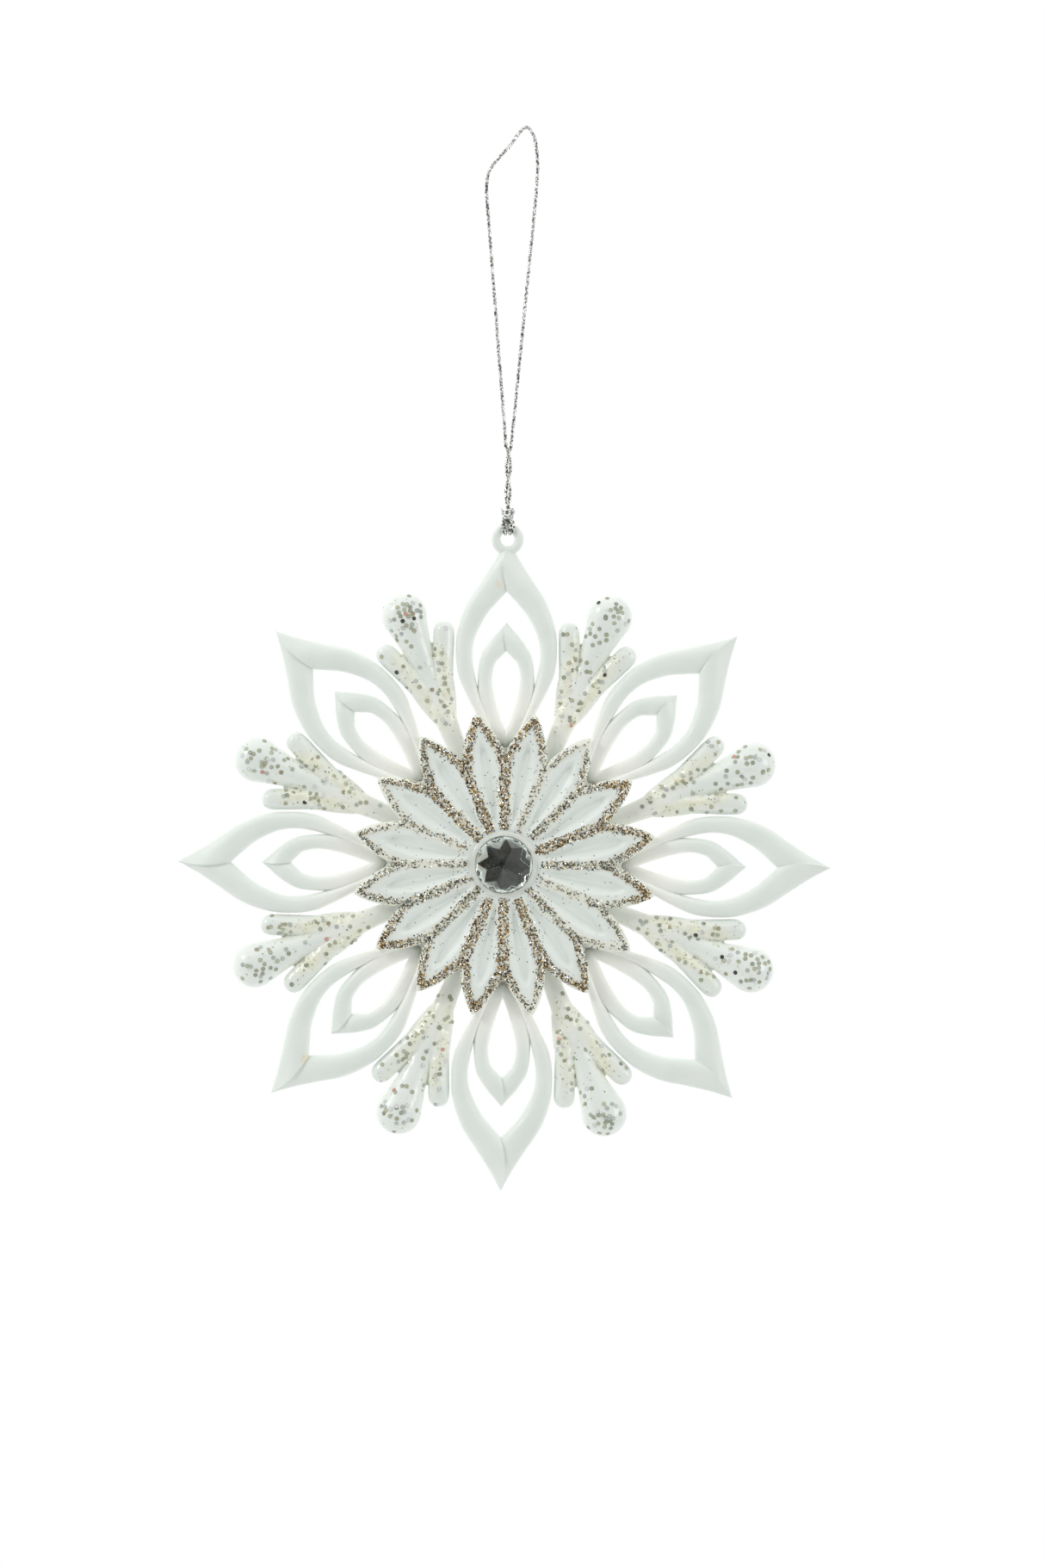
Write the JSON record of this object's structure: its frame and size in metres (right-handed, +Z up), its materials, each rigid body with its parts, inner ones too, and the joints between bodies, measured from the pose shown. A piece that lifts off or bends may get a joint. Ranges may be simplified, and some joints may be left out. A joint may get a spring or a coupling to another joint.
{
  "type": "snowflake star ornament",
  "caption": "Hanging snowflake star with petal loops, icicle drops, a glitter rosette and a faceted stone, on a metallic thread loop.",
  "frame": {"origin": "top of the thread loop, straight above the snowflake's centre", "axes": "+Z up, +X to the right seen from the front, +Y through the thickness to the back; the front faces -Y"},
  "size_m": [0.13, 0.0137, 0.2119],
  "materials": {
    "white_plastic": "milky white, satin, slightly translucent",
    "frosted_drop": "milky plastic under clear yellowish glue with round glitter",
    "faceted_stone": "clear faceted acrylic stone",
    "stone_foil": "grey mirror foil",
    "clear_glue": "set clear glue",
    "glitter": "champagne and bronze glitter in glue",
    "silver_thread": "twisted silver metallic thread"
  },
  "bodies": {
    "branch_loop": {"thread_over_branch": "silver_thread"},
    "hanging_strands": {"thread_strand_left": "silver_thread", "thread_strand_right": "silver_thread"},
    "twist": {"twisted_strands": "silver_thread"},
    "knot": {"thread_knot": "silver_thread"},
    "snowflake": {"outer_petal_1": "white_plastic", "outer_petal_2": "white_plastic", "outer_petal_3": "white_plastic", "outer_petal_4": "white_plastic", "outer_petal_5": "white_plastic", "outer_petal_6": "white_plastic", "outer_petal_7": "white_plastic", "outer_petal_8": "white_plastic", "inner_petal_1": "white_plastic", "inner_petal_2": "white_plastic", "inner_petal_3": "white_plastic", "inner_petal_4": "white_plastic", "inner_petal_5": "white_plastic", "inner_petal_6": "white_plastic", "inner_petal_7": "white_plastic", "inner_petal_8": "white_plastic", "icicle_trio_1": "frosted_drop", "icicle_trio_2": "frosted_drop", "icicle_trio_3": "frosted_drop", "icicle_trio_4": "frosted_drop", "icicle_trio_5": "frosted_drop", "icicle_trio_6": "frosted_drop", "icicle_trio_7": "frosted_drop", "icicle_trio_8": "frosted_drop", "backing_disc": "white_plastic", "rosette": "white_plastic", "glitter_lines": "glitter", "stone_glue": "clear_glue", "rhinestone_foil": "stone_foil", "rhinestone": "faceted_stone", "eyelet": "white_plastic"}
  },
  "joints": [
    {"name": "loop_swing", "type": "hinge", "parent": "branch_loop", "child": "hanging_strands", "pos_m": [0, 0, -0.0145], "axis": [0.7483, 0.6634, 0], "range_deg": [-25, 25]},
    {"name": "thread_spin", "type": "hinge", "parent": "hanging_strands", "child": "twist", "pos_m": [0, 0, -0.0642], "axis": [0, 0, 1], "range_deg": [-180, 180]},
    {"name": "knot_tilt", "type": "hinge", "parent": "twist", "child": "knot", "pos_m": [0, 0, -0.076], "axis": [1, 0, 0], "range_deg": [-45, 45]},
    {"name": "eyelet_turn", "type": "hinge", "parent": "knot", "child": "snowflake", "pos_m": [0, 0, -0.0823], "axis": [0, 1, 0], "range_deg": [-60, 60]}
  ]
}
